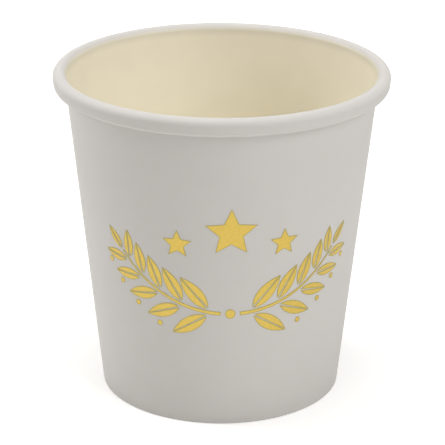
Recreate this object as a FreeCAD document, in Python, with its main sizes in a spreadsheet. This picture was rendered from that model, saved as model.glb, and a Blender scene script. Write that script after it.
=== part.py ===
import FreeCAD, Part
import math
import os

import Sketcher

# A small tapered paper cup. The z axis is the cup's own axis, z = 0 is the
# table, the printed front faces -y and the lap seam of the wall is at +y.

# Driving sizes, in millimetres, degrees or counts: name, value, what it is.
SIZES = [
    ("cup_height", 61.5, "table to the top of the rim"),
    ("rim_diameter", 62.0, "across the outside of the rolled rim"),
    ("base_diameter", 45.0, "across the outside of the wall at the table"),
    ("paper_thickness", 0.3, "board of the wall and the disc"),
    ("curl_width", 2.45, "rolled rim, across the wall"),
    ("curl_height", 3.3, "rolled rim, along the wall"),
    ("curl_tuck", 0.9, "straight end of the roll, tucked up beside the wall"),
    ("curl_gap", 0.05, "between the tucked end and the wall"),
    ("fold_corner", 0.32, "rounding of the two folds in the foot"),
    ("lap_width", 6.5, "overlap of the wall's two edges"),
    ("lap_ramp", 1.6, "where the outer ply comes down to the wall"),
    ("disc_height", 6.0, "table to the underside of the disc"),
    ("disc_bend", 0.5, "inner radius of the disc's turned edge"),
    ("seal_gap", 0.02, "between the layers sealed in the foot"),
    ("flap_clearance", 0.4, "from the turned-in flap to the disc's bend"),
    ("foil_thickness", 0.05, "stamped foil"),
    ("print_height", 33.0, "table to the middle of the print"),
    ("print_turn", 4.0, "from the front to the middle of the print"),
    ("sprig_radius", 27.0, "bend of the two sprigs"),
    ("sprig_drop", 10.0, "middle of the print down to the sprigs"),
    ("sprig_spacing", 3.6, "between the lower ends of the two stems"),
    ("stem_width", 0.75, "stem at its lower end"),
    ("stem_tip_width", 0.3, "stem at its upper end"),
    ("leaf_pairs", 5, "pairs of leaves on a sprig"),
    ("leaf_length", 7.8, "lowest leaves"),
    ("leaf_width", 2.9, "lowest leaves"),
    ("leaf_angle", 40.0, "between a leaf and its stem"),
    ("leaf_gap", 0.4, "between a leaf and its stem or the next leaf"),
    ("leaf_taper", 0.6, "size of the highest leaves against the lowest"),
    ("vein_width", 0.26, "slit between the halves of a leaf"),
    ("dot_diameter", 1.1, "dots between the tips of the leaves"),
    ("bud_diameter", 1.9, "dot between the two stems"),
    ("star_diameter", 9.6, "middle star, across its points"),
    ("star_rise", 6.2, "middle of the print up to the middle star"),
    ("side_star_diameter", 5.6, "side stars, across their points"),
    ("side_star_rise", 3.6, "middle of the print up to the side stars"),
    ("side_star_reach", 9.6, "from the middle star to a side star, sideways"),
    ("star_waist", 0.46, "inner corners of a star against its points"),
]

# Lengths and angles that follow from the driving sizes, as expressions.
PAPER = "Sizes.paper_thickness"
BASE_RADIUS = "Sizes.base_diameter / 2"
CURL_RADIUS = "Sizes.curl_width / 2"
CURL_BEND = "(Sizes.curl_width / 2 - Sizes.paper_thickness)"
TUCK_RADIUS = "(Sizes.curl_width - Sizes.paper_thickness - Sizes.curl_gap) / 2"
CURL_SIDE = f"(Sizes.curl_height - {CURL_RADIUS} - {TUCK_RADIUS})"
CURL_CENTRE_RADIUS = "(Sizes.rim_diameter - Sizes.curl_width) / 2"
CURL_CENTRE_HEIGHT = "(Sizes.cup_height - Sizes.curl_width / 2)"
WALL_SPREAD = f"({CURL_CENTRE_RADIUS} - {BASE_RADIUS})"
WALL_ANGLE = (
    f"(atan({WALL_SPREAD} / {CURL_CENTRE_HEIGHT})"
    f" - asin({CURL_BEND} / sqrt({WALL_SPREAD} ^ 2 + {CURL_CENTRE_HEIGHT} ^ 2)))"
)
WALL_REACH = f"{BASE_RADIUS} + Sizes.disc_height * tan({WALL_ANGLE})"
SKIRT_DEPTH = f"({PAPER} + Sizes.seal_gap)"
SKIRT_FOOT = f"({PAPER} + Sizes.seal_gap)"
FLAP_DEPTH = f"2 * {SKIRT_DEPTH}"
FLAP_TOP = "(Sizes.disc_height - Sizes.disc_bend - Sizes.flap_clearance)"
LAP_TOP = f"({CURL_CENTRE_HEIGHT} - {CURL_SIDE} + {PAPER})"

# Where a leaf's edge is pulled to, as shares of its length and its width.
LEAF_PULLS = ((0.24, 2 / 3), (0.64, 2 / 3))
# The slit at a leaf's tip against the slit at its base.
VEIN_TIP = 0.2
STAR_POINTS = 5
# Points along each edge of a stem, less one.
STEM_STEPS = 6
# The direction that the cup's front faces, in degrees from the x axis.
FRONT = 270
# How near to z = 0 counts as on the table, in millimetres.
ON_TABLE = 1e-3

document = FreeCAD.newDocument("PaperCup")


def make_sheet():
    """Put the driving sizes in a spreadsheet, each under its own alias."""
    sheet = document.addObject("Spreadsheet::Sheet", "Sizes")
    for row, (alias, value, meaning) in enumerate(SIZES, start=1):
        sheet.set(f"A{row}", alias)
        sheet.set(f"B{row}", str(value))
        sheet.set(f"C{row}", meaning)
        sheet.setAlias(f"B{row}", alias)
    document.recompute()
    return sheet


def size(expression):
    """The value of an expression in the sheet's aliases, as a plain number."""
    value = sheet.evalExpression(expression)
    return float(getattr(value, "Value", value))


def new_sketch(body, name, role):
    """A sketch on one of the body's own origin planes."""
    sketch = body.newObject("Sketcher::SketchObject", name)
    planes = [item for item in body.Origin.OriginFeatures if item.Role == role]
    sketch.AttachmentSupport = [(planes[0], "")]
    sketch.MapMode = "FlatFace"
    return sketch


def relate(sketch, kind, *places):
    """Add a relation, which has no value, between parts of the sketch."""
    sketch.addConstraint(Sketcher.Constraint(kind, *places))


def dimension(sketch, name, expression, kind, *places):
    """Add a dimension that follows an expression in the sheet's aliases."""
    index = sketch.addConstraint(Sketcher.Constraint(kind, *places, size(expression)))
    sketch.renameConstraint(index, name)
    sketch.setExpression(f"Constraints.{name}", expression)


def add_line(sketch, start, end):
    """A straight edge of the outline, from start to end."""
    return sketch.addGeometry(Part.LineSegment(start, end))


def add_arc(sketch, centre, radius, start, end):
    """A round edge of the outline, anticlockwise between two angles."""
    circle = Part.Circle(centre, FreeCAD.Vector(0, 0, 1), radius)
    return sketch.addGeometry(Part.ArcOfCircle(circle, start, end))


def revolve(body, name, sketch):
    """Turn the sketch all the way round the cup's axis."""
    feature = body.newObject("PartDesign::Revolution", name)
    feature.Profile = sketch
    feature.ReferenceAxis = (sketch, ["V_Axis"])
    feature.Angle = 360
    document.recompute()
    return feature


def wall_directions():
    """Unit vectors up the wall and out of it, in the section's plane."""
    angle = math.radians(size(WALL_ANGLE))
    along = FreeCAD.Vector(math.sin(angle), math.cos(angle), 0)
    outward = FreeCAD.Vector(math.cos(angle), -math.sin(angle), 0)
    return along, outward


def on_wall(height, depth):
    """The section's point at a height and a depth inside the wall's outside."""
    along, outward = wall_directions()
    point = FreeCAD.Vector(size(BASE_RADIUS), 0, 0) - outward * depth
    return point + along * ((height - point.y) / along.y)


def draw_wall(sketch):
    """One strip of board: folded foot, straight wall and rolled rim."""
    along, outward = wall_directions()
    out_angle = math.atan2(outward.y, outward.x)
    back_angle = out_angle + math.pi
    full_angle = out_angle + 2 * math.pi
    paper = size(PAPER)
    roll_radius = size(CURL_RADIUS)
    under_radius = size(TUCK_RADIUS)
    side = size(CURL_SIDE)
    tuck = size("Sizes.curl_tuck")
    flap_depth = size(FLAP_DEPTH)
    flap_top = size(FLAP_TOP)
    roll = FreeCAD.Vector(size(CURL_CENTRE_RADIUS), size(CURL_CENTRE_HEIGHT), 0)
    under = roll + outward * (roll_radius - under_radius) - along * side

    inner_bend = roll_radius - paper
    under_bend = under_radius - paper
    tuck_start = under - outward * under_radius
    tuck_inner = under - outward * under_bend
    flap_foot = on_wall(paper, flap_depth)
    flap_head = on_wall(flap_top, flap_depth)
    flap_edge = flap_head - outward * paper

    foot = add_line(sketch, on_wall(0, flap_depth + paper), on_wall(0, 0))
    outside = add_line(sketch, on_wall(0, 0), roll - outward * inner_bend)
    roll_in = add_arc(sketch, roll, inner_bend, out_angle, back_angle)
    side_in = add_line(sketch, roll + outward * inner_bend, under + outward * under_bend)
    under_in = add_arc(sketch, under, under_bend, back_angle, full_angle)
    tuck_in = add_line(sketch, tuck_inner, tuck_inner + along * tuck)
    tuck_edge = add_line(sketch, tuck_inner + along * tuck, tuck_start + along * tuck)
    tuck_out = add_line(sketch, tuck_start + along * tuck, tuck_start)
    under_out = add_arc(sketch, under, under_radius, back_angle, full_angle)
    side_out = add_line(sketch, under + outward * under_radius, roll + outward * roll_radius)
    roll_out = add_arc(sketch, roll, roll_radius, out_angle, back_angle)
    inside = add_line(sketch, roll - outward * roll_radius, on_wall(paper, paper))
    fold = add_line(sketch, on_wall(paper, paper), flap_foot)
    flap_out = add_line(sketch, flap_foot, flap_head)
    flap_end = add_line(sketch, flap_head, flap_edge)
    flap_in = add_line(sketch, flap_edge, on_wall(0, flap_depth + paper))

    relate(sketch, "Coincident", foot, 2, outside, 1)
    relate(sketch, "Tangent", outside, 2, roll_in, 2)
    relate(sketch, "Tangent", roll_in, 1, side_in, 1)
    relate(sketch, "Tangent", side_in, 2, under_in, 2)
    relate(sketch, "Tangent", under_in, 1, tuck_in, 1)
    relate(sketch, "Coincident", tuck_in, 2, tuck_edge, 1)
    relate(sketch, "Coincident", tuck_edge, 2, tuck_out, 1)
    relate(sketch, "Tangent", tuck_out, 2, under_out, 1)
    relate(sketch, "Tangent", under_out, 2, side_out, 1)
    relate(sketch, "Tangent", side_out, 2, roll_out, 1)
    relate(sketch, "Tangent", roll_out, 2, inside, 1)
    relate(sketch, "Coincident", inside, 2, fold, 1)
    relate(sketch, "Coincident", fold, 2, flap_out, 1)
    relate(sketch, "Coincident", flap_out, 2, flap_end, 1)
    relate(sketch, "Coincident", flap_end, 2, flap_in, 1)
    relate(sketch, "Coincident", flap_in, 2, foot, 1)
    relate(sketch, "Coincident", roll_in, 3, roll_out, 3)
    relate(sketch, "Coincident", under_in, 3, under_out, 3)
    for edge in (inside, side_out, tuck_in, tuck_out, flap_out, flap_in):
        relate(sketch, "Parallel", edge, outside)
    relate(sketch, "Perpendicular", tuck_edge, outside)
    relate(sketch, "Perpendicular", flap_end, outside)
    relate(sketch, "Horizontal", fold)
    relate(sketch, "PointOnObject", foot, 1, -1)
    relate(sketch, "PointOnObject", foot, 2, -1)

    dimension(sketch, "BaseRadius", BASE_RADIUS, "DistanceX", -1, 1, foot, 2)
    dimension(sketch, "RollOut", CURL_CENTRE_RADIUS, "DistanceX", -1, 1, roll_out, 3)
    dimension(sketch, "RollUp", CURL_CENTRE_HEIGHT, "DistanceY", -1, 1, roll_out, 3)
    dimension(sketch, "RollRadius", CURL_RADIUS, "Radius", roll_out)
    dimension(sketch, "RollBend", CURL_BEND, "Radius", roll_in)
    dimension(sketch, "UnderRadius", TUCK_RADIUS, "Radius", under_out)
    dimension(sketch, "UnderBend", f"{TUCK_RADIUS} - {PAPER}", "Radius", under_in)
    dimension(sketch, "RollSide", CURL_SIDE, "Distance", side_out)
    dimension(sketch, "Tuck", "Sizes.curl_tuck", "Distance", tuck_out)
    dimension(sketch, "FoldHeight", PAPER, "DistanceY", -1, 1, fold, 1)
    dimension(sketch, "FlapThickness", PAPER, "Distance", flap_end)
    dimension(sketch, "FlapDepth", FLAP_DEPTH, "Distance", flap_out, 1, outside)
    dimension(sketch, "FlapTop", FLAP_TOP, "DistanceY", -1, 1, flap_out, 2)


def draw_lap(sketch, height):
    """A level cut through the outer ply of the lap, at a height expression."""
    sketch.setExpression("AttachmentOffset.Base.z", height)
    wall_radius = f"({BASE_RADIUS} + {height} * tan({WALL_ANGLE}))"
    outer_radius = f"({wall_radius} + {PAPER} / cos({WALL_ANGLE}))"
    inner_radius = f"({wall_radius} - {PAPER} / 2)"
    reach = size("Sizes.lap_width") / 2
    ramp_reach = reach + size("Sizes.lap_ramp")
    outer = size(outer_radius)
    inner = size(inner_radius)
    ramp_top = math.acos(reach / outer)
    ramp_foot = math.acos(ramp_reach / inner)
    cut = math.pi - ramp_top

    def at(radius, angle):
        return FreeCAD.Vector(radius * math.cos(angle), radius * math.sin(angle), 0)

    centre = FreeCAD.Vector(0, 0, 0)
    ply = add_arc(sketch, centre, outer, ramp_top, cut)
    edge = add_line(sketch, at(outer, cut), at(inner, cut))
    root = add_arc(sketch, centre, inner, ramp_foot, cut)
    ramp = add_line(sketch, at(inner, ramp_foot), at(outer, ramp_top))

    relate(sketch, "Coincident", ply, 2, edge, 1)
    relate(sketch, "Coincident", edge, 2, root, 2)
    relate(sketch, "Coincident", root, 1, ramp, 1)
    relate(sketch, "Coincident", ramp, 2, ply, 1)
    relate(sketch, "Coincident", ply, 3, -1, 1)
    relate(sketch, "Coincident", root, 3, -1, 1)
    relate(sketch, "PointOnObject", -1, 1, edge)
    dimension(sketch, "PlyRadius", outer_radius, "Radius", ply)
    dimension(sketch, "RootRadius", inner_radius, "Radius", root)
    dimension(sketch, "CutReach", "Sizes.lap_width / 2", "DistanceX", ply, 2, -1, 1)
    dimension(sketch, "RampTop", "Sizes.lap_width / 2", "DistanceX", -1, 1, ply, 1)
    dimension(
        sketch, "RampFoot", "Sizes.lap_width / 2 + Sizes.lap_ramp", "DistanceX", -1, 1, root, 1
    )


def make_side_wall():
    """The wall: one board blank, rolled up, lapped, folded in and curled out."""
    body = document.addObject("PartDesign::Body", "SideWall")
    body.Label = "side_wall"

    section = new_sketch(body, "WallSection", "XZ_Plane")
    draw_wall(section)
    strip = revolve(body, "WallStrip", section)

    folds = body.newObject("PartDesign::Fillet", "FootFolds")
    at_table = [
        f"Edge{number}"
        for number, edge in enumerate(strip.Shape.Edges, start=1)
        if edge.BoundBox.ZMax < ON_TABLE
    ]
    folds.Base = (strip, at_table)
    folds.setExpression("Radius", "Sizes.fold_corner")
    document.recompute()

    low = new_sketch(body, "LapLow", "XY_Plane")
    draw_lap(low, "Sizes.fold_corner")
    high = new_sketch(body, "LapHigh", "XY_Plane")
    draw_lap(high, LAP_TOP)
    lap = body.newObject("PartDesign::AdditiveLoft", "LapPly")
    lap.Profile = low
    lap.Sections = [high]
    lap.Ruled = True
    document.recompute()
    return body


def draw_disc(sketch):
    """Half of the disc: level floor, turned edge and skirt along the wall."""
    along, outward = wall_directions()
    out_angle = math.atan2(outward.y, outward.x)
    paper = size(PAPER)
    bend = size("Sizes.disc_bend")
    height = size("Sizes.disc_height")
    depth = size(SKIRT_DEPTH)
    centre = on_wall(height - bend, depth + paper + bend)
    skirt_foot = on_wall(size(SKIRT_FOOT), depth)
    skirt_inner = skirt_foot - outward * paper
    up_angle = math.pi / 2

    wall = add_line(sketch, on_wall(0, 0), on_wall(height, 0))
    sketch.setConstruction(wall, True)
    middle = add_line(sketch, FreeCAD.Vector(0, height, 0), FreeCAD.Vector(0, height + paper, 0))
    top = add_line(
        sketch,
        FreeCAD.Vector(0, height + paper, 0),
        centre + FreeCAD.Vector(0, bend + paper, 0),
    )
    bend_out = add_arc(sketch, centre, bend + paper, out_angle, up_angle)
    skirt_out = add_line(sketch, centre + outward * (bend + paper), skirt_foot)
    skirt_end = add_line(sketch, skirt_foot, skirt_inner)
    skirt_in = add_line(sketch, skirt_inner, centre + outward * bend)
    bend_in = add_arc(sketch, centre, bend, out_angle, up_angle)
    under = add_line(sketch, centre + FreeCAD.Vector(0, bend, 0), FreeCAD.Vector(0, height, 0))

    relate(sketch, "PointOnObject", wall, 1, -1)
    relate(sketch, "Coincident", middle, 2, top, 1)
    relate(sketch, "Tangent", top, 2, bend_out, 2)
    relate(sketch, "Tangent", bend_out, 1, skirt_out, 1)
    relate(sketch, "Coincident", skirt_out, 2, skirt_end, 1)
    relate(sketch, "Coincident", skirt_end, 2, skirt_in, 1)
    relate(sketch, "Tangent", skirt_in, 2, bend_in, 1)
    relate(sketch, "Tangent", bend_in, 2, under, 1)
    relate(sketch, "Coincident", under, 2, middle, 1)
    relate(sketch, "Coincident", bend_out, 3, bend_in, 3)
    relate(sketch, "Horizontal", top)
    relate(sketch, "Horizontal", under)
    relate(sketch, "Parallel", skirt_out, wall)
    relate(sketch, "Parallel", skirt_in, wall)
    relate(sketch, "Perpendicular", skirt_end, wall)
    relate(sketch, "PointOnObject", middle, 1, -2)
    relate(sketch, "PointOnObject", middle, 2, -2)

    dimension(sketch, "WallRadius", BASE_RADIUS, "DistanceX", -1, 1, wall, 1)
    dimension(sketch, "WallReach", WALL_REACH, "DistanceX", -1, 1, wall, 2)
    dimension(sketch, "WallRise", "Sizes.disc_height", "DistanceY", -1, 1, wall, 2)
    dimension(sketch, "Underside", "Sizes.disc_height", "DistanceY", -1, 1, middle, 1)
    dimension(sketch, "TopFace", f"Sizes.disc_height + {PAPER}", "DistanceY", -1, 1, middle, 2)
    dimension(sketch, "BendRadius", "Sizes.disc_bend", "Radius", bend_in)
    dimension(sketch, "SkirtDepth", SKIRT_DEPTH, "Distance", skirt_out, 2, wall)
    dimension(sketch, "SkirtFoot", SKIRT_FOOT, "DistanceY", -1, 1, skirt_out, 2)


def make_base_disc():
    """The floor: a drawn board disc, its skirt sealed in the wall's fold."""
    body = document.addObject("PartDesign::Body", "BaseDisc")
    body.Label = "base_disc"
    section = new_sketch(body, "DiscSection", "XZ_Plane")
    draw_disc(section)
    revolve(body, "DiscShell", section)
    return body


class Foil:
    """Flat artwork laid round the wall: x along the girth, y up the slope."""

    def __init__(self):
        self.angle = math.radians(size(WALL_ANGLE))
        height = size("Sizes.print_height")
        base = size(BASE_RADIUS)
        self.radius = base + height * math.tan(self.angle)
        self.slant = height / math.cos(self.angle)
        self.thickness = size("Sizes.foil_thickness")
        self.surface = Part.Cone(
            FreeCAD.Vector(0, 0, 0), FreeCAD.Vector(0, 0, height), base, self.radius
        )
        zero = self.surface.value(0, 0)
        front = math.radians(FRONT + size("Sizes.print_turn"))
        self.turn = (front - math.atan2(zero.y, zero.x)) % (2 * math.pi)

    def place(self, point):
        """The wall's own angle and slant distance of a point of the artwork."""
        return FreeCAD.Base.Vector2d(
            self.turn + point[0] / self.radius, self.slant + point[1]
        )

    def line(self, start, end):
        """A straight edge of the artwork."""
        return Part.Geom2d.Line2dSegment(self.place(start), self.place(end))

    def pulled_curve(self, points):
        """A curved edge, from the first point to the last."""
        curve = Part.Geom2d.BezierCurve2d()
        curve.increase(len(points) - 1)
        for number, point in enumerate(points, start=1):
            curve.setPole(number, self.place(point))
        return curve

    def curve_through(self, points):
        """A curved edge that passes through all the points."""
        curve = Part.Geom2d.BSplineCurve2d()
        curve.interpolate([self.place(point) for point in points])
        return curve

    def circle(self, centre, radius):
        """A closed round edge."""
        x, y = centre
        return Part.Geom2d.Ellipse2d(
            self.place((x, y + radius)), self.place((x + radius, y)), self.place(centre)
        )

    def stamp(self, edges, middle):
        """The solid of one piece of foil inside a closed row of edges."""
        wire = Part.Wire([edge.toShape(self.surface) for edge in edges])
        face = Part.Face(self.surface, wire)
        place = self.place(middle)
        return face.extrude(self.surface.normal(place.x, place.y) * self.thickness)


def across(point, direction, along, aside):
    """A point moved along a unit direction and to the left of it."""
    return (
        point[0] + direction[0] * along - direction[1] * aside,
        point[1] + direction[1] * along + direction[0] * aside,
    )


def stamp_leaf(foil, base, direction, scale):
    """The two halves of a leaf, either side of its vein."""
    length = size("Sizes.leaf_length") * scale
    width = size("Sizes.leaf_width") * scale
    vein = size("Sizes.vein_width") / 2
    halves = []
    for hand in (1, -1):
        start = across(base, direction, 0, hand * vein)
        tip = across(base, direction, length, hand * vein * VEIN_TIP)
        pulls = [
            across(base, direction, length * far, hand * width * wide)
            for far, wide in LEAF_PULLS
        ]
        edges = [foil.pulled_curve([start] + pulls + [tip]), foil.line(tip, start)]
        halves.append(foil.stamp(edges, base))
    return halves


def stamp_star(foil, centre, diameter):
    """A five-pointed star, one point up."""
    corners = []
    for step in range(2 * STAR_POINTS):
        reach = diameter / 2 * (1 if step % 2 == 0 else size("Sizes.star_waist"))
        turn = math.pi * step / STAR_POINTS
        corners.append((centre[0] + reach * math.sin(turn), centre[1] + reach * math.cos(turn)))
    edges = [
        foil.line(corner, corners[(step + 1) % len(corners)])
        for step, corner in enumerate(corners)
    ]
    return foil.stamp(edges, centre)


def stamp_sprig(foil, hand):
    """A leafy sprig that curves up from the middle to one side."""
    bend = size("Sizes.sprig_radius")
    drop = size("Sizes.sprig_drop")
    gap = size("Sizes.leaf_gap")
    widths = (size("Sizes.stem_width"), size("Sizes.stem_tip_width"))
    lean = math.radians(size("Sizes.leaf_angle"))
    pairs = int(size("Sizes.leaf_pairs"))
    taper = size("Sizes.leaf_taper")
    pitch = (size("Sizes.leaf_width") + gap) / math.sin(lean)

    def stem_point(run, aside):
        turn = run / bend
        reach = bend - aside
        return (hand * reach * math.sin(turn), bend - drop - reach * math.cos(turn))

    def heading(run, tilt):
        turn = run / bend + tilt
        return (hand * math.cos(turn), math.sin(turn))

    pieces = []
    start = size("Sizes.sprig_spacing") / 2
    run = start + pitch / 2
    tips = []
    for number in range(pairs):
        scale = 1 - (1 - taper) * number / pairs
        aside = (widths[0] / 2 + gap) * scale
        for side in (1, -1):
            base = stem_point(run, side * aside)
            direction = heading(run, side * lean)
            pieces += stamp_leaf(foil, base, direction, scale)
        tips.append(across(base, direction, size("Sizes.leaf_length") * scale, 0))
        run += pitch * scale
    end = run - pitch * scale / 2
    pieces += stamp_leaf(foil, stem_point(end + gap, 0), heading(end + gap, 0), taper)

    dot = size("Sizes.dot_diameter") / 2
    for first, second in zip(tips, tips[1:]):
        middle = ((first[0] + second[0]) / 2, (first[1] + second[1]) / 2)
        pieces.append(foil.stamp([foil.circle(middle, dot)], middle))

    upper, lower = [], []
    for step in range(STEM_STEPS + 1):
        share = step / STEM_STEPS
        half = (widths[0] + (widths[1] - widths[0]) * share) / 2
        upper.append(stem_point(start + (end - start) * share, half))
        lower.append(stem_point(start + (end - start) * share, -half))
    outline = [
        foil.curve_through(upper),
        foil.line(upper[-1], lower[-1]),
        foil.curve_through(lower[::-1]),
        foil.line(lower[0], upper[0]),
    ]
    pieces.append(foil.stamp(outline, upper[STEM_STEPS // 2]))
    return pieces


def make_foil_print():
    """The stamped foil ornament: two sprigs, their bud and three stars."""
    foil = Foil()
    drop = size("Sizes.sprig_drop")
    bud = (0.0, -drop)
    pieces = [foil.stamp([foil.circle(bud, size("Sizes.bud_diameter") / 2)], bud)]
    for hand in (1, -1):
        pieces += stamp_sprig(foil, hand)
        place = (hand * size("Sizes.side_star_reach"), size("Sizes.side_star_rise"))
        pieces.append(stamp_star(foil, place, size("Sizes.side_star_diameter")))
    middle = (0.0, size("Sizes.star_rise"))
    pieces.append(stamp_star(foil, middle, size("Sizes.star_diameter")))

    feature = document.addObject("Part::Feature", "FoilPrint")
    feature.Label = "foil_print"
    feature.Shape = Part.makeCompound(pieces)
    feature.Placement = FreeCAD.Placement()
    return feature


def check_and_export(parts):
    """Stop on any failed feature or bad shape, then write one file a part."""
    document.recompute()
    for item in document.Objects:
        if "Invalid" in item.State or "Error" in item.State:
            raise RuntimeError(f"{item.Label} failed")
    for part in parts:
        if part.Shape.isNull() or not part.Shape.isValid():
            raise RuntimeError(f"{part.Label} has no valid shape")
    os.makedirs("parts", exist_ok=True)
    for part in parts:
        part.Shape.exportStep(f"parts/{part.Label}.step")


sheet = make_sheet()
check_and_export([make_side_wall(), make_base_disc(), make_foil_print()])
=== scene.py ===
"""A small tapered paper cup with a rolled rim and a gold foil ornament."""

import math

import bmesh
import bpy
from mathutils import Matrix, Vector
from mathutils.geometry import interpolate_bezier


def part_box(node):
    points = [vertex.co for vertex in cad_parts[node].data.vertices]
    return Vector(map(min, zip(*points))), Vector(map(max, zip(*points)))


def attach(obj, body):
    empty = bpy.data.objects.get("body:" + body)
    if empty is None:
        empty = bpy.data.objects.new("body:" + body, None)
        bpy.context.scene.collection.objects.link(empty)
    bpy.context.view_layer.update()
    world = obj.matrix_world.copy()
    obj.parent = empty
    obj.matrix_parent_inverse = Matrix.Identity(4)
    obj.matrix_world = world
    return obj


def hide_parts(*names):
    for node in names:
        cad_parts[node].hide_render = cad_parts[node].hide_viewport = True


bl_info = {
    "name": "Paper cup",
    "version": (1, 0, 0),
    "blender": (4, 5, 0),
    "location": "3D View > Sidebar > Paper Cup",
    "description": "Models a small paper cup with a rolled rim and a gold foil ornament",
    "category": "Object",
}

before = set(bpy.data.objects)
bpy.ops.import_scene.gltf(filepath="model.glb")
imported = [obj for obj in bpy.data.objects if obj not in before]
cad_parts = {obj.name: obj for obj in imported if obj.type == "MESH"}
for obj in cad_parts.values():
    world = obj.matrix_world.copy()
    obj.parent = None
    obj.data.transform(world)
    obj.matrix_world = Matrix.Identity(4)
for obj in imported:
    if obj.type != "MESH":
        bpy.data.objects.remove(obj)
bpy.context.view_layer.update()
WALL_LOW, WALL_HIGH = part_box("side_wall")

MM = 0.001
# The order of the wall's materials. The floor disc has the first two.
OUTSIDE, INSIDE, CUT_EDGE, KNURLED = range(4)
# The second of the foil's two materials: painted shade along its edges.
FOIL_EDGE_SHADE = 1
# The steps of every full turn about the cup's axis.
TURN_STEPS = 144
# The steps of the roll's arcs, of the short arc of cream at its end, and of the foot's fillets.
ROLL_STEPS = 24
CREAM_STEPS = 8
FILLET_STEPS = 4
# The rings that the straight wall is cut into.
WALL_RINGS = 8
# Where the roll's white face ends: its angle above level on the inner side of the roll.
WHITE_ENDS = math.radians(44)
# The height over which the cream below it is darkened by painted shade and then turns into that
# white.
PAINTED_SHADE_BAND = 1.9 * MM
# Where in that height the painted shade is deepest, and how much of the cream's brightness is left
# there.
PAINTED_SHADE_DEEPEST_AT = 0.75
PAINTED_SHADE_SHARE = 0.86
# The lap's pressed cut edge slopes down over this width.
CUT_SLOPE = 0.16 * MM
# The upper and lower ends of the lap's outer ply drop over this height.
END_DROP = 0.02 * MM
# How near to the wall's outside line a corner or a face counts as on it.
ON_LINE = 0.01 * MM
# The distances at which corners are welded, and at which a cut takes a corner as on it.
WELD_REACH = 0.001 * MM
CUT_REACH = 0.0001 * MM
# The ridges that the knurling wheel leaves round the foot's inner fold.
KNURL_RIDGES = 150
# The angle past which an edge stays sharp.
SHARP_ANGLE = math.radians(30)
# The direction of the printed front, anticlockwise from +X.
FRONT = math.radians(270)
# The leaf's outline: how far along, and how far aside as a share of its width, each pull is.
LEAF_PULLS = ((0.24, 2 / 3), (0.64, 2 / 3))
LEAF_STEPS = 14
# The bare vein's width at the leaf's tip, as a share of its width at the base.
VEIN_TIP = 0.2
STAR_POINTS = 5
STEM_STEPS = 24
DOT_STEPS = 24
# The darker rim along the foil's edges, painted shade that stands in for the shading of its raised
# edges.
FOIL_SHADE_RIM = 0.16 * MM
# The artwork is cut into strips this wide, so that it bends round the wall.
STRIP = 0.8 * MM


def linear(code):
    """A linear colour with its alpha, from an sRGB hex code."""
    values = [int(code[place : place + 2], 16) / 255 for place in (1, 3, 5)]
    parts = [v / 12.92 if v <= 0.04045 else ((v + 0.055) / 1.055) ** 2.4 for v in values]
    return (*parts, 1.0)


def length_of(name, description, millimetres):
    """A length that a user may change."""
    return bpy.props.FloatProperty(
        name=name,
        description=description,
        default=millimetres * MM,
        min=0.0,
        precision=5,
        unit="LENGTH",
    )


def colour_of(name, description, code):
    """A colour that a user may change."""
    return bpy.props.FloatVectorProperty(
        name=name,
        description=description,
        default=linear(code),
        size=4,
        min=0.0,
        max=1.0,
        subtype="COLOR",
    )


class CupSizes(bpy.types.PropertyGroup):
    """Sizes of the two board pieces."""

    cup_height: length_of(
        "Height",
        "From the table to the top of the roll",
        round(WALL_HIGH.z / MM, 1),
    )
    rim_diameter: length_of(
        "Rim diameter",
        "Across the outside of the roll",
        round((WALL_HIGH.x - WALL_LOW.x) / MM, 1),
    )
    base_diameter: length_of("Base diameter", "Across the outside of the wall on the table", 45.0)
    paper_thickness: length_of("Board thickness", "Thickness of the cup board", 0.3)
    curl_width: length_of("Roll width", "Across the rolled rim, level", 2.45)
    curl_height: length_of("Roll height", "From the top of the roll to its under side", 3.3)
    curl_tuck: length_of("Roll tuck", "Length of board tucked up inside the roll", 0.9)
    curl_gap: length_of("Roll gap", "Gap between the roll's end and the wall", 0.05)
    fold_corner: length_of("Fold corner", "Radius of the foot's folded corners", 0.32)
    lap_width: length_of("Lap width", "Width of the glued side lap", 6.5)
    lap_ramp: length_of("Lap ramp", "Width over which the board drops off the inner ply", 1.6)
    disc_height: length_of("Floor height", "From the table to the floor's under side", 6.0)
    disc_bend: length_of("Floor bend", "Inside radius of the floor's drawn edge", 0.5)
    seal_gap: length_of("Seal gap", "Film between two sealed layers", 0.02)
    flap_clearance: length_of("Flap clearance", "From the flap's end to the floor's bend", 0.4)


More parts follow.
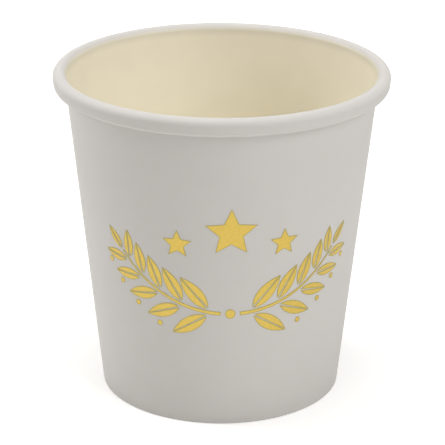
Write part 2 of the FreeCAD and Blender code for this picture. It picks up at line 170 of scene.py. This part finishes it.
class PrintSizes(bpy.types.PropertyGroup):
    """Sizes of the foil ornament."""

    foil_thickness: length_of("Foil thickness", "How far the foil stands proud", 0.05)
    print_height: length_of("Height", "From the table to the ornament's middle, level", 33.0)
    print_turn: bpy.props.FloatProperty(
        name="Turn",
        description="From the front to the ornament's middle, anticlockwise from above",
        default=math.radians(4),
        subtype="ANGLE",
    )
    sprig_radius: length_of("Sprig radius", "Radius that the sprigs curve on", 27.0)
    sprig_drop: length_of("Sprig drop", "From the ornament's middle down to the stems", 10.0)
    sprig_spacing: length_of("Sprig spacing", "Between the ends of the two stems", 3.6)
    stem_width: length_of("Stem width", "Width of a stem where it starts", 0.75)
    stem_tip_width: length_of("Stem tip width", "Width of a stem where it ends", 0.3)
    leaf_pairs: bpy.props.IntProperty(
        name="Leaf pairs",
        description="Pairs of leaves on a sprig, without the one at its tip",
        default=5,
        min=1,
        max=12,
    )
    leaf_length: length_of("Leaf length", "Length of the largest leaf", 7.8)
    leaf_width: length_of("Leaf width", "Width of the largest leaf", 2.9)
    leaf_angle: bpy.props.FloatProperty(
        name="Leaf angle",
        description="Between a leaf and its stem",
        default=math.radians(40),
        subtype="ANGLE",
    )
    leaf_gap: length_of("Leaf gap", "Bare gap between a leaf and its neighbours", 0.4)
    leaf_taper: bpy.props.FloatProperty(
        name="Leaf taper",
        description="Size of the leaf at the tip, as a share of the largest",
        default=0.6,
        min=0.1,
        max=1.0,
        subtype="FACTOR",
    )
    vein_width: length_of("Vein width", "Bare line down the middle of a leaf", 0.26)
    dot_diameter: length_of("Dot", "Diameter of the dots between the leaves", 1.1)
    bud_diameter: length_of("Bud", "Diameter of the round bud between the stems", 1.9)
    star_diameter: length_of("Middle star", "Across the points of the middle star", 9.6)
    star_rise: length_of("Middle star rise", "From the ornament's middle up to the star", 6.2)
    side_star_diameter: length_of("Side star", "Across the points of a side star", 5.6)
    side_star_rise: length_of("Side star rise", "From the ornament's middle up to a side star", 3.6)
    side_star_reach: length_of(
        "Side star reach", "From the ornament's middle out to a side star", 9.6
    )
    star_waist: bpy.props.FloatProperty(
        name="Star waist",
        description="A star's inner corners, as a share of its points' reach",
        default=0.46,
        min=0.1,
        max=0.9,
        subtype="FACTOR",
    )


class CupFinish(bpy.types.PropertyGroup):
    """Colours of the board and the foil."""

    outside_board: colour_of("Outside board", "White printed face of the board", "#D6D3D0")
    cut_edge: colour_of("Cut edge", "Raw core of the board where it is cut", "#B5AC9C")
    inside_board: colour_of("Inside board", "Film-lined cream face of the board", "#F6F0DE")
    gold_foil: colour_of("Gold foil", "Hot-stamped foil", "#C8AD58")
    # Painted shade: the darker colour of the rim along the foil's edges.
    foil_edge_shade: colour_of("Foil edge", "Painted shade along the foil's edges", "#A79A5C")


class CupSection:
    """The cup's half section, as distance from the axis and height."""

    def __init__(self, sizes):
        self.paper = sizes.paper_thickness
        self.base = sizes.base_diameter / 2
        self.roll_radius = sizes.curl_width / 2
        self.tuck_radius = (sizes.curl_width - self.paper - sizes.curl_gap) / 2
        self.roll_side = sizes.curl_height - self.roll_radius - self.tuck_radius
        rim = sizes.rim_diameter / 2
        self.roll_centre = Vector((rim - self.roll_radius, sizes.cup_height - self.roll_radius))
        spread = self.roll_centre.x - self.base
        rise = self.roll_centre.y
        bend = self.roll_radius - self.paper
        self.angle = math.atan2(spread, rise) - math.asin(bend / math.hypot(spread, rise))
        self.up = Vector((math.sin(self.angle), math.cos(self.angle)))
        self.out = Vector((math.cos(self.angle), -math.sin(self.angle)))
        self.turn_out = math.atan2(self.out.y, self.out.x)
        self.lap_top = rise - self.roll_side + self.paper

    def at(self, height, depth):
        """The place at a height and at a depth behind the wall's outside line."""
        foot = Vector((self.base, 0)) - self.out * depth
        return foot + self.up * ((height - foot.y) / self.up.y)

    def join(self, start, end, parts=1):
        """A straight stretch of places."""
        return [start.lerp(end, step / parts) for step in range(parts + 1)]

    def arc(self, centre, radius, start, end, parts):
        """A round stretch of places."""
        turns = [start + (end - start) * step / parts for step in range(parts + 1)]
        return [centre + Vector((math.cos(turn), math.sin(turn))) * radius for turn in turns]

    def fillet(self, before, corner, after, radius):
        """A small arc in place of a corner."""
        back = (before - corner).normalized()
        ahead = (after - corner).normalized()
        half = back.angle(ahead) / 2
        middle = corner + (back + ahead).normalized() * radius / math.sin(half)
        start = corner + back * radius / math.tan(half) - middle
        end = corner + ahead * radius / math.tan(half) - middle
        first = math.atan2(start.y, start.x)
        sweep = start.angle_signed(end)
        return self.arc(middle, radius, first, first - sweep, FILLET_STEPS)


def empty_piece(name):
    """Takes an earlier piece of this name out of the scene and gives a new, empty one."""
    old = bpy.data.objects.get(name)
    if old is not None:
        bpy.data.meshes.remove(old.data)
    piece = bpy.data.objects.new(name, bpy.data.meshes.new(name))
    bpy.context.scene.collection.objects.link(piece)
    return piece


def spin_run(shell, places, finish):
    """Spins one run of the half section round the cup's axis and adds it to the shell."""
    run = bmesh.new()
    corners = [run.verts.new((place.x, 0, place.y)) for place in places]
    edges = [run.edges.new(pair) for pair in zip(corners, corners[1:])]
    bmesh.ops.spin(
        run,
        geom=corners + edges,
        cent=(0, 0, 0),
        axis=(0, 0, 1),
        angle=2 * math.pi,
        steps=TURN_STEPS,
        use_merge=True,
    )
    for face in run.faces:
        face.material_index = finish
        face.smooth = True
    spun = bpy.data.meshes.new("spun_run")
    run.to_mesh(spun)
    run.free()
    shell.from_mesh(spun)
    bpy.data.meshes.remove(spun)


def close_up(mesh):
    """Welds the runs of a closed shell and points its faces outwards."""
    bmesh.ops.remove_doubles(mesh, verts=mesh.verts, dist=WELD_REACH)
    bmesh.ops.recalc_face_normals(mesh, faces=mesh.faces)


def finish_piece(piece, mesh, materials):
    """Writes the mesh to the piece, with its materials and sharp edges."""
    mesh.to_mesh(piece.data)
    mesh.free()
    for material in materials:
        piece.data.materials.append(material)
    piece.data.set_sharp_from_angle(angle=SHARP_ANGLE)
    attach(piece, "root")


def raise_lap(mesh, section, sizes):
    """Raises the outer ply of the side lap, with a crisp cut edge and a soft ramp."""
    half = sizes.lap_width / 2
    slope_end = half + CUT_SLOPE
    ramp_end = half + sizes.lap_ramp
    cut_band = sizes.lap_width
    low = sizes.fold_corner
    high = section.lap_top
    cuts = [
        ((-half, 0, 0), (1, 0, 0)),
        ((-slope_end, 0, 0), (1, 0, 0)),
        ((half, 0, 0), (1, 0, 0)),
        ((ramp_end, 0, 0), (1, 0, 0)),
        ((0, 0, low), (0, 0, 1)),
        ((0, 0, low + END_DROP), (0, 0, 1)),
        ((0, 0, high), (0, 0, 1)),
        ((0, 0, high - END_DROP), (0, 0, 1)),
    ]
    for place, direction in cuts:
        band = set()
        for face in mesh.faces:
            middle = face.calc_center_median()
            if face.material_index == OUTSIDE and middle.y > 0 and abs(middle.x) < cut_band:
                band.update([face, *face.edges, *face.verts])
        bmesh.ops.bisect_plane(
            mesh, geom=list(band), dist=CUT_REACH, plane_co=place, plane_no=direction
        )
    for face in mesh.faces:
        middle = face.calc_center_median()
        depth = section.at(middle.z, 0).x - math.hypot(middle.x, middle.y)
        on_slope = middle.y > 0 and -slope_end < middle.x < -half and low < middle.z < high
        if on_slope and abs(depth) < ON_LINE:
            face.material_index = CUT_EDGE
    for corner in mesh.verts:
        depth = section.at(corner.co.z, 0).x - math.hypot(corner.co.x, corner.co.y)
        if corner.co.y < 0 or abs(depth) > ON_LINE:
            continue
        if not low + END_DROP / 2 < corner.co.z < high - END_DROP / 2:
            continue
        if not -half - CUT_SLOPE / 2 < corner.co.x < ramp_end:
            continue
        share = min(1, (ramp_end - corner.co.x) / sizes.lap_ramp)
        shift = section.out * sizes.paper_thickness * share
        radial = Vector((corner.co.x, corner.co.y, 0)).normalized()
        corner.co += radial * shift.x + Vector((0, 0, shift.y))


class PAPERCUP_OT_side_wall(bpy.types.Operator):
    """Models the side wall with its rolled rim, its side lap and its folded foot"""

    bl_idname = "paper_cup.side_wall"
    bl_label = "Side wall"

    def execute(self, context):
        sizes = context.scene.cup_sizes
        finish = context.scene.cup_finish
        section = CupSection(sizes)
        paper = section.paper
        half_turn = math.pi
        out = section.turn_out
        skirt = paper + sizes.seal_gap
        flap_top = sizes.disc_height - sizes.disc_bend - sizes.flap_clearance
        tuck_centre = (
            section.roll_centre
            + section.out * (section.roll_radius - section.tuck_radius)
            - section.up * section.roll_side
        )

        flap_in = section.at(flap_top, 2 * skirt + paper)
        flap_out = section.at(flap_top, 2 * skirt)
        fold_in = section.at(paper, paper)
        fold_out = section.at(paper, 2 * skirt)
        foot_out = section.at(0, 0)
        foot_in = section.at(0, 2 * skirt + paper)
        outer_fillet = section.fillet(foot_in, foot_out, section.roll_centre, sizes.fold_corner)
        inner_fillet = section.fillet(foot_out, foot_in, flap_in, sizes.fold_corner)
        bend = section.roll_radius - paper
        wall_end = section.roll_centre - section.out * bend
        inner_end = section.roll_centre - section.out * section.roll_radius

        foot = inner_fillet[::-1] + outer_fillet
        outer_wall = section.join(outer_fillet[-1], wall_end, WALL_RINGS)
        hidden_roll = section.arc(
            section.roll_centre, bend, out + half_turn, out, ROLL_STEPS
        )
        tuck_bend = section.tuck_radius - paper
        hidden_tuck = section.arc(tuck_centre, tuck_bend, out, out - half_turn, ROLL_STEPS)
        tuck_end = hidden_tuck[-1] + section.up * sizes.curl_tuck
        tuck_start = tuck_centre - section.out * section.tuck_radius
        tuck_face = section.arc(
            tuck_centre, section.tuck_radius, out - half_turn, out, ROLL_STEPS
        )
        white_end = half_turn - WHITE_ENDS
        roll_face = section.arc(
            section.roll_centre, section.roll_radius, out, white_end, ROLL_STEPS
        )
        cream_roll = section.arc(
            section.roll_centre,
            section.roll_radius,
            white_end,
            out + half_turn,
            CREAM_STEPS,
        )

        mesh = bmesh.new()
        spin_run(mesh, section.join(flap_in, inner_fillet[-1]), KNURLED)
        spin_run(mesh, foot, OUTSIDE)
        spin_run(mesh, outer_wall, OUTSIDE)
        spin_run(mesh, hidden_roll + hidden_tuck + [tuck_end], OUTSIDE)
        spin_run(
            mesh,
            [tuck_end, tuck_start + section.up * sizes.curl_tuck] + tuck_face + roll_face,
            OUTSIDE,
        )
        spin_run(mesh, cream_roll, INSIDE)
        spin_run(mesh, section.join(inner_end, fold_in, WALL_RINGS), INSIDE)
        spin_run(mesh, [fold_in, fold_out, flap_out, flap_in], INSIDE)
        close_up(mesh)
        raise_lap(mesh, section, sizes)
        piece = empty_piece("side_wall_board")
        finish_piece(
            piece,
            mesh,
            [
                coated_board(finish),
                film_lined_board(finish, sizes),
                cut_board(finish),
                knurled_board(finish),
            ],
        )
        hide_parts("side_wall")
        return {"FINISHED"}


class PAPERCUP_OT_base_disc(bpy.types.Operator):
    """Models the drawn floor disc with its skirt"""

    bl_idname = "paper_cup.base_disc"
    bl_label = "Floor"

    def execute(self, context):
        sizes = context.scene.cup_sizes
        finish = context.scene.cup_finish
        section = CupSection(sizes)
        paper = section.paper
        skirt = paper + sizes.seal_gap
        bend = sizes.disc_bend
        up = math.pi / 2
        centre = section.at(sizes.disc_height - bend, skirt + paper + bend)
        skirt_out = section.at(skirt, skirt)
        skirt_in = skirt_out - section.out * paper
        top = Vector((0, sizes.disc_height + paper))
        under = Vector((0, sizes.disc_height))

        mesh = bmesh.new()
        outer_bend = section.arc(centre, bend + paper, up, section.turn_out, 2 * FILLET_STEPS)
        inner_bend = section.arc(centre, bend, section.turn_out, up, 2 * FILLET_STEPS)
        upper_face = section.join(top, outer_bend[0], WALL_RINGS)
        lower_face = section.join(inner_bend[-1], under, WALL_RINGS)
        spin_run(mesh, upper_face + outer_bend[1:] + [skirt_out], INSIDE)
        spin_run(mesh, [skirt_out, skirt_in] + inner_bend + lower_face[1:], OUTSIDE)
        close_up(mesh)
        piece = empty_piece("floor_board_disc")
        finish_piece(piece, mesh, [coated_board(finish), film_lined_board(finish, sizes)])
        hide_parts("base_disc")
        return {"FINISHED"}


def across(point, direction, along, aside):
    """A point moved along a unit direction and to the left of it."""
    return point + direction * along + Vector((-direction.y, direction.x)) * aside


def outline(mesh, points):
    """A flat piece of artwork inside a closed row of points."""
    return mesh.faces.new([mesh.verts.new((point.x, point.y, 0)) for point in points])


def draw_leaf(mesh, sizes, base, direction, scale):
    """The two halves of a leaf, either side of its vein."""
    length = sizes.leaf_length * scale
    width = sizes.leaf_width * scale
    vein = sizes.vein_width / 2
    for hand in (1, -1):
        start = across(base, direction, 0, hand * vein)
        tip = across(base, direction, length, hand * vein * VEIN_TIP)
        pulls = [
            across(base, direction, length * far, hand * width * wide)
            for far, wide in LEAF_PULLS
        ]
        outline(mesh, interpolate_bezier(start, *pulls, tip, LEAF_STEPS))


def draw_star(mesh, sizes, centre, diameter):
    """A five-pointed star, one point up."""
    corners = []
    for step in range(2 * STAR_POINTS):
        reach = diameter / 2 * (1 if step % 2 == 0 else sizes.star_waist)
        turn = math.pi * step / STAR_POINTS
        corners.append(centre + Vector((math.sin(turn), math.cos(turn))) * reach)
    outline(mesh, corners)


def draw_dot(mesh, centre, diameter):
    """A round dot."""
    place = Matrix.Translation((centre.x, centre.y, 0))
    bmesh.ops.create_circle(
        mesh, cap_ends=True, segments=DOT_STEPS, radius=diameter / 2, matrix=place
    )


def draw_sprig(mesh, sizes, hand):
    """A leafy sprig that curves up from the middle to one side."""
    bend = sizes.sprig_radius
    gap = sizes.leaf_gap
    lean = sizes.leaf_angle
    pitch = (sizes.leaf_width + gap) / math.sin(lean)

    def stem_point(run, aside):
        turn = run / bend
        reach = bend - aside
        x = hand * reach * math.sin(turn)
        return Vector((x, bend - sizes.sprig_drop - reach * math.cos(turn)))

    def heading(run, tilt):
        turn = run / bend + tilt
        return Vector((hand * math.cos(turn), math.sin(turn)))

    start = sizes.sprig_spacing / 2
    run = start + pitch / 2
    tips = []
    for number in range(sizes.leaf_pairs):
        scale = 1 - (1 - sizes.leaf_taper) * number / sizes.leaf_pairs
        aside = (sizes.stem_width / 2 + gap) * scale
        for side in (1, -1):
            base = stem_point(run, side * aside)
            direction = heading(run, side * lean)
            draw_leaf(mesh, sizes, base, direction, scale)
        tips.append(across(base, direction, sizes.leaf_length * scale, 0))
        run += pitch * scale
    end = run - pitch * scale / 2
    draw_leaf(mesh, sizes, stem_point(end + gap, 0), heading(end + gap, 0), sizes.leaf_taper)

    for first, second in zip(tips, tips[1:]):
        draw_dot(mesh, first.lerp(second, 0.5), sizes.dot_diameter)

    upper, lower = [], []
    for step in range(STEM_STEPS + 1):
        share = step / STEM_STEPS
        run = start + (end - start) * share
        half = (sizes.stem_width + (sizes.stem_tip_width - sizes.stem_width) * share) / 2
        upper.append(stem_point(run, half))
        lower.append(stem_point(run, -half))
    outline(mesh, upper + lower[::-1])


def wrap_round(mesh, section, sizes):
    """Lays the flat artwork round the wall: x along the girth, y up the slope, z outwards."""
    radius = section.at(sizes.print_height, 0).x
    foot = Vector((section.base, 0))
    slant = sizes.print_height / math.cos(section.angle)
    for corner in mesh.verts:
        turn = FRONT + sizes.print_turn + corner.co.x / radius
        place = foot + section.up * (slant + corner.co.y) + section.out * corner.co.z
        corner.co = (place.x * math.cos(turn), place.x * math.sin(turn), place.y)


class PAPERCUP_OT_foil_print(bpy.types.Operator):
    """Models the hot-stamped foil ornament of leafy sprigs and stars"""

    bl_idname = "paper_cup.foil_print"
    bl_label = "Foil ornament"

    def execute(self, context):
        sizes = context.scene.print_sizes
        section = CupSection(context.scene.cup_sizes)
        mesh = bmesh.new()
        for hand in (1, -1):
            draw_sprig(mesh, sizes, hand)
            side_star = Vector((hand * sizes.side_star_reach, sizes.side_star_rise))
            draw_star(mesh, sizes, side_star, sizes.side_star_diameter)
        draw_star(mesh, sizes, Vector((0, sizes.star_rise)), sizes.star_diameter)
        draw_dot(mesh, Vector((0, -sizes.sprig_drop)), sizes.bud_diameter)

        # A darker rim round every shape, painted shade along the foil's edges.
        shade_rims = bmesh.ops.inset_region(
            mesh,
            faces=mesh.faces[:],
            thickness=FOIL_SHADE_RIM,
            use_boundary=True,
            use_even_offset=True,
        )
        for face in shade_rims["faces"]:
            face.material_index = FOIL_EDGE_SHADE
        bmesh.ops.triangulate(mesh, faces=mesh.faces)
        reach = max(abs(corner.co.x) for corner in mesh.verts)
        for step in range(-int(reach / STRIP), int(reach / STRIP) + 1):
            bmesh.ops.bisect_plane(
                mesh,
                geom=mesh.verts[:] + mesh.edges[:] + mesh.faces[:],
                dist=CUT_REACH,
                plane_co=(step * STRIP, 0, 0),
                plane_no=(1, 0, 0),
            )
        raised = bmesh.ops.extrude_face_region(mesh, geom=mesh.faces[:], use_keep_orig=True)
        tops = [part for part in raised["geom"] if isinstance(part, bmesh.types.BMVert)]
        bmesh.ops.translate(mesh, verts=tops, vec=(0, 0, sizes.foil_thickness))
        wrap_round(mesh, section, sizes)
        bmesh.ops.recalc_face_normals(mesh, faces=mesh.faces)
        for face in mesh.faces:
            face.smooth = True
        piece = empty_piece("stamped_foil")
        finish = context.scene.cup_finish
        finish_piece(
            piece,
            mesh,
            [
                stamped_foil("hot-stamped gold foil", finish.gold_foil),
                stamped_foil("painted shade on the foil edge", finish.foil_edge_shade),
            ],
        )
        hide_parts("foil_print")
        return {"FINISHED"}


def new_material(name):
    """A material of this name, new or made afresh, with its shader and its output."""
    material = bpy.data.materials.get(name) or bpy.data.materials.new(name)
    material.use_nodes = True
    material.node_tree.nodes.clear()
    shader = add_node(material, "ShaderNodeBsdfPrincipled")
    add_node(material, "ShaderNodeOutputMaterial", Surface=shader.outputs["BSDF"])
    return material, shader


def add_node(owner, kind, settings=None, **inputs):
    """Adds a node to a material or world. An input is named by its socket, or by _ and its number."""
    node = owner.node_tree.nodes.new(kind)
    for name, value in (settings or {}).items():
        setattr(node, name, value)
    for name, value in inputs.items():
        socket = node.inputs[int(name[1:]) if name[0] == "_" else name.replace("_", " ")]
        if isinstance(value, bpy.types.NodeSocket):
            owner.node_tree.links.new(value, socket)
        else:
            socket.default_value = value
    return node


def shade(colour, share):
    """A colour made darker or lighter by a share."""
    return (*[min(1, part * share) for part in colour[:3]], 1.0)


def coated_board(finish):
    """Clay-coated cup board: a matt white face, with its fibres faintly felt through the coat."""
    material, shader = new_material("clay-coated cup board")
    place = add_node(material, "ShaderNodeTexCoord").outputs["Object"]
    # Fibre clumps about 4 mm across mottle the white by one or two parts in a hundred.
    clumps = add_node(
        material, "ShaderNodeTexNoise", Vector=place, Scale=1 / (4 * MM), Detail=3.0
    )
    tint = add_node(
        material,
        "ShaderNodeMix",
        {"data_type": "RGBA"},
        _0=clumps.outputs["Fac"],
        _6=shade(finish.outside_board, 0.985),
        _7=shade(finish.outside_board, 1.015),
    )
    # Fibres are 0.02 mm wide, too fine to show, so the grain is drawn 0.4 mm wide.
    fibres = add_node(
        material, "ShaderNodeTexNoise", Vector=place, Scale=1 / (0.4 * MM), Detail=2.0
    )
    bump = add_node(
        material,
        "ShaderNodeBump",
        Strength=0.35,
        Distance=0.02 * MM,
        Height=fibres.outputs["Fac"],
    )
    links = material.node_tree.links
    links.new(tint.outputs[2], shader.inputs["Base Color"])
    links.new(bump.outputs["Normal"], shader.inputs["Normal"])
    shader.inputs["Roughness"].default_value = 0.65
    return material


def cut_board(finish):
    """Raw core of the board, cut by a die: slightly darker and quite dull."""
    material, shader = new_material("die-cut board edge")
    place = add_node(material, "ShaderNodeTexCoord").outputs["Object"]
    # Torn fibre ends about 0.5 mm long speckle the edge.
    fibres = add_node(
        material, "ShaderNodeTexNoise", Vector=place, Scale=1 / (0.5 * MM), Detail=2.0
    )
    tint = add_node(
        material,
        "ShaderNodeMix",
        {"data_type": "RGBA"},
        _0=fibres.outputs["Fac"],
        _6=shade(finish.cut_edge, 0.9),
        _7=shade(finish.cut_edge, 1.1),
    )
    material.node_tree.links.new(tint.outputs[2], shader.inputs["Base Color"])
    shader.inputs["Roughness"].default_value = 0.9
    return material


def knurled_board(finish):
    """Board pressed by the knurling wheel: fine upright ridges round the foot's fold."""
    material, shader = new_material("knurled cup board")
    place = add_node(material, "ShaderNodeTexCoord").outputs["Object"]
    apart = add_node(material, "ShaderNodeSeparateXYZ", Vector=place)
    turn = add_node(
        material,
        "ShaderNodeMath",
        {"operation": "ARCTAN2"},
        _0=apart.outputs["Y"],
        _1=apart.outputs["X"],
    )
    phase = add_node(
        material,
        "ShaderNodeMath",
        {"operation": "MULTIPLY"},
        _0=turn.outputs[0],
        _1=KNURL_RIDGES,
    )
    ridges = add_node(material, "ShaderNodeMath", {"operation": "SINE"}, _0=phase.outputs[0])
    bump = add_node(
        material,
        "ShaderNodeBump",
        Strength=1.0,
        Distance=0.04 * MM,
        Height=ridges.outputs[0],
    )
    material.node_tree.links.new(bump.outputs["Normal"], shader.inputs["Normal"])
    shader.inputs["Base Color"].default_value = finish.outside_board
    shader.inputs["Roughness"].default_value = 0.65
    return material


def film_lined_board(finish, sizes):
    """Cup board under a polyethylene film: smooth cream with a soft sheen."""
    material, shader = new_material("film-lined cup board")
    place = add_node(material, "ShaderNodeTexCoord").outputs["Object"]
    # On the inner side of the roll the cream is darkened by painted shade, and it ends at the white
    # rim.
    height = add_node(material, "ShaderNodeSeparateXYZ", Vector=place).outputs["Z"]
    white_from = sizes.cup_height - sizes.curl_width / 2 * (1 - math.sin(WHITE_ENDS))
    rise = add_node(
        material,
        "ShaderNodeMapRange",
        Value=height,
        From_Min=white_from - PAINTED_SHADE_BAND,
        From_Max=white_from,
    )
    bands = add_node(material, "ShaderNodeValToRGB", Fac=rise.outputs[0])
    stops = bands.color_ramp.elements
    stops[0].color = finish.inside_board
    stops[1].color = finish.outside_board
    # Painted shade: the cream is darkest here, just below the roll's white.
    painted_shade_stop = stops.new(PAINTED_SHADE_DEEPEST_AT)
    painted_shade_stop.color = shade(finish.inside_board, PAINTED_SHADE_SHARE)
    # The film lies in soft waves about 6 mm long over the board.
    waves = add_node(
        material, "ShaderNodeTexNoise", Vector=place, Scale=1 / (6.25 * MM), Detail=1.0
    )
    mottle = add_node(
        material,
        "ShaderNodeMapRange",
        Value=waves.outputs["Fac"],
        To_Min=0.97,
        To_Max=1.03,
    )
    tint = add_node(
        material,
        "ShaderNodeMix",
        {"data_type": "RGBA", "blend_type": "MULTIPLY"},
        _0=1.0,
        _6=bands.outputs["Color"],
        _7=mottle.outputs[0],
    )
    bump = add_node(
        material,
        "ShaderNodeBump",
        Strength=0.2,
        Distance=0.05 * MM,
        Height=waves.outputs["Fac"],
    )
    links = material.node_tree.links
    links.new(tint.outputs[2], shader.inputs["Base Color"])
    links.new(bump.outputs["Normal"], shader.inputs["Normal"])
    shader.inputs["Roughness"].default_value = 0.5
    return material


def stamped_foil(name, colour):
    """Hot-stamped metallised foil: satin gold that takes the board's grain."""
    material, shader = new_material(name)
    place = add_node(material, "ShaderNodeTexCoord").outputs["Object"]
    # The foil takes the board's fibres as a grain of about 0.5 mm.
    grain = add_node(
        material, "ShaderNodeTexNoise", Vector=place, Scale=1 / (0.5 * MM), Detail=3.0
    )
    tint = add_node(
        material,
        "ShaderNodeMix",
        {"data_type": "RGBA"},
        _0=grain.outputs["Fac"],
        _6=shade(colour, 0.86),
        _7=shade(colour, 1.12),
    )
    bump = add_node(
        material,
        "ShaderNodeBump",
        Strength=0.5,
        Distance=0.03 * MM,
        Height=grain.outputs["Fac"],
    )
    links = material.node_tree.links
    links.new(tint.outputs[2], shader.inputs["Base Color"])
    links.new(bump.outputs["Normal"], shader.inputs["Normal"])
    shader.inputs["Metallic"].default_value = 1.0
    shader.inputs["Roughness"].default_value = 0.38
    return material


# The camera: its rise above level, its distance from the middle of the cup, and its roll.
CAMERA_RISE = math.radians(21.117)
CAMERA_DISTANCE = 400.4 * MM
CAMERA_ROLL = math.radians(0.297)
# Its lens and the width of its sensor, in millimetres, its small shift, and the nearest that it sees.
CAMERA_LENS = 171.8
SENSOR_WIDTH = 36
CAMERA_SHIFT = (0.0032, 0.0029)
NEAREST_SEEN = 10 * MM

# The lamps: name, turn from the front towards +X, rise above level, power in watts.
LAMPS = (
    ("top_lamp", 0, 89, 4.1),
    ("right_lamp", 50, 35, 2.7),
    ("left_lamp", -105, 32, 2.8),
)
# How far the lamps stand from the middle of the cup, and how wide they are, in metres.
LAMP_DISTANCE = 0.9
LAMP_WIDTH = 0.6
# The slightly warm light from all round.
AMBIENT = (0.255, 0.24, 0.215, 1.0)
# The width of the floor, in metres, and how much light of its own it has where it is seen.
FLOOR_WIDTH = 4.0
FLOOR_LIFT = 0.35


def add_stage_object(name, data):
    """Puts a lamp or the camera in the scene, in place of an earlier one of its name."""
    old = bpy.data.objects.get(name)
    if old is not None:
        bpy.data.objects.remove(old)
    item = bpy.data.objects.new(name, data)
    bpy.context.scene.collection.objects.link(item)
    return item


def seen_directly(owner):
    """One for the camera's, a mirror's and a glass's rays, and nought for the others."""
    path = add_node(owner, "ShaderNodeLightPath")
    seen = add_node(
        owner,
        "ShaderNodeMath",
        {"operation": "ADD"},
        _0=path.outputs["Is Camera Ray"],
        _1=path.outputs["Is Glossy Ray"],
    )
    return add_node(
        owner,
        "ShaderNodeMath",
        {"operation": "ADD", "use_clamp": True},
        _0=seen.outputs[0],
        _1=path.outputs["Is Transmission Ray"],
    ).outputs[0]


class PAPERCUP_OT_stage(bpy.types.Operator):
    """Sets up the pale floor, the soft studio light and the camera"""

    bl_idname = "paper_cup.stage"
    bl_label = "Stage"

    def execute(self, context):
        scene = context.scene
        camera = add_stage_object("studio_camera", bpy.data.cameras.new("studio_camera"))
        camera.data.lens = CAMERA_LENS
        camera.data.sensor_width = SENSOR_WIDTH
        camera.data.shift_x, camera.data.shift_y = CAMERA_SHIFT
        camera.data.clip_start = NEAREST_SEEN
        middle = Vector((0, 0, scene.cup_sizes.cup_height / 2))
        back = Vector((0, -math.cos(CAMERA_RISE), math.sin(CAMERA_RISE)))
        camera.matrix_world = (
            Matrix.Translation(middle + back * CAMERA_DISTANCE)
            @ Matrix.Rotation(math.pi / 2 - CAMERA_RISE, 4, "X")
            @ Matrix.Rotation(CAMERA_ROLL, 4, "Z")
        )
        scene.camera = camera

        for name, turn, rise, power in LAMPS:
            lamp = add_stage_object(name, bpy.data.lights.new(name, "AREA"))
            lamp.data.shape = "DISK"
            lamp.data.size = LAMP_WIDTH
            lamp.data.energy = power
            lamp.matrix_world = (
                Matrix.Translation(middle)
                @ Matrix.Rotation(math.radians(turn), 4, "Z")
                @ Matrix.Rotation(math.radians(90 - rise), 4, "X")
                @ Matrix.Translation((0, 0, LAMP_DISTANCE))
            )

        mesh = bmesh.new()
        bmesh.ops.create_grid(mesh, x_segments=1, y_segments=1, size=FLOOR_WIDTH / 2)
        floor = empty_piece("studio_floor")
        mesh.to_mesh(floor.data)
        mesh.free()
        floor.data.materials.append(floor_paper())

        world = bpy.data.worlds.new("studio_world")
        world.use_nodes = True
        background = world.node_tree.nodes["Background"]
        light = add_node(
            world,
            "ShaderNodeMix",
            {"data_type": "RGBA"},
            _0=seen_directly(world),
            _6=AMBIENT,
            _7=(1, 1, 1, 1),
        )
        world.node_tree.links.new(light.outputs[2], background.inputs["Color"])
        scene.world = world
        scene.view_settings.view_transform = "Standard"
        return {"FINISHED"}


def floor_paper():
    """White background paper, lifted to full white where the camera sees it."""
    material, shader = new_material("white background paper")
    shader.inputs["Base Color"].default_value = linear("#F4F4F4")
    shader.inputs["Roughness"].default_value = 1.0
    shader.inputs["Emission Color"].default_value = (1, 1, 1, 1)
    lift = add_node(
        material,
        "ShaderNodeMath",
        {"operation": "MULTIPLY"},
        _0=seen_directly(material),
        _1=FLOOR_LIFT,
    )
    material.node_tree.links.new(lift.outputs[0], shader.inputs["Emission Strength"])
    return material


class PAPERCUP_PT_panel(bpy.types.Panel):
    """Lists the cup's pieces, sizes and colours"""

    bl_label = "Paper Cup"
    bl_idname = "PAPERCUP_PT_panel"
    bl_space_type = "VIEW_3D"
    bl_region_type = "UI"
    bl_category = "Paper Cup"

    def draw(self, context):
        for group in (
            context.scene.cup_sizes,
            context.scene.print_sizes,
            context.scene.cup_finish,
        ):
            box = self.layout.box()
            for name in group.__annotations__:
                box.prop(group, name)
        for operator in OPERATORS:
            self.layout.operator(operator.bl_idname)


OPERATORS = (
    PAPERCUP_OT_side_wall,
    PAPERCUP_OT_base_disc,
    PAPERCUP_OT_foil_print,
    PAPERCUP_OT_stage,
)
GROUPS = {"cup_sizes": CupSizes, "print_sizes": PrintSizes, "cup_finish": CupFinish}


def register():
    """Registers the sizes, the operators and the panel."""
    for name, group in GROUPS.items():
        bpy.utils.register_class(group)
        setattr(bpy.types.Scene, name, bpy.props.PointerProperty(type=group))
    for operator in OPERATORS:
        bpy.utils.register_class(operator)
    bpy.utils.register_class(PAPERCUP_PT_panel)


def unregister():
    """Takes away what register() added."""
    bpy.utils.unregister_class(PAPERCUP_PT_panel)
    for operator in reversed(OPERATORS):
        bpy.utils.unregister_class(operator)
    for name, group in GROUPS.items():
        delattr(bpy.types.Scene, name)
        bpy.utils.unregister_class(group)


def main():
    """Makes every piece and the stage."""
    register()
    bpy.ops.paper_cup.side_wall()
    bpy.ops.paper_cup.base_disc()
    bpy.ops.paper_cup.foil_print()
    bpy.ops.paper_cup.stage()


if __name__ == "__main__":
    main()
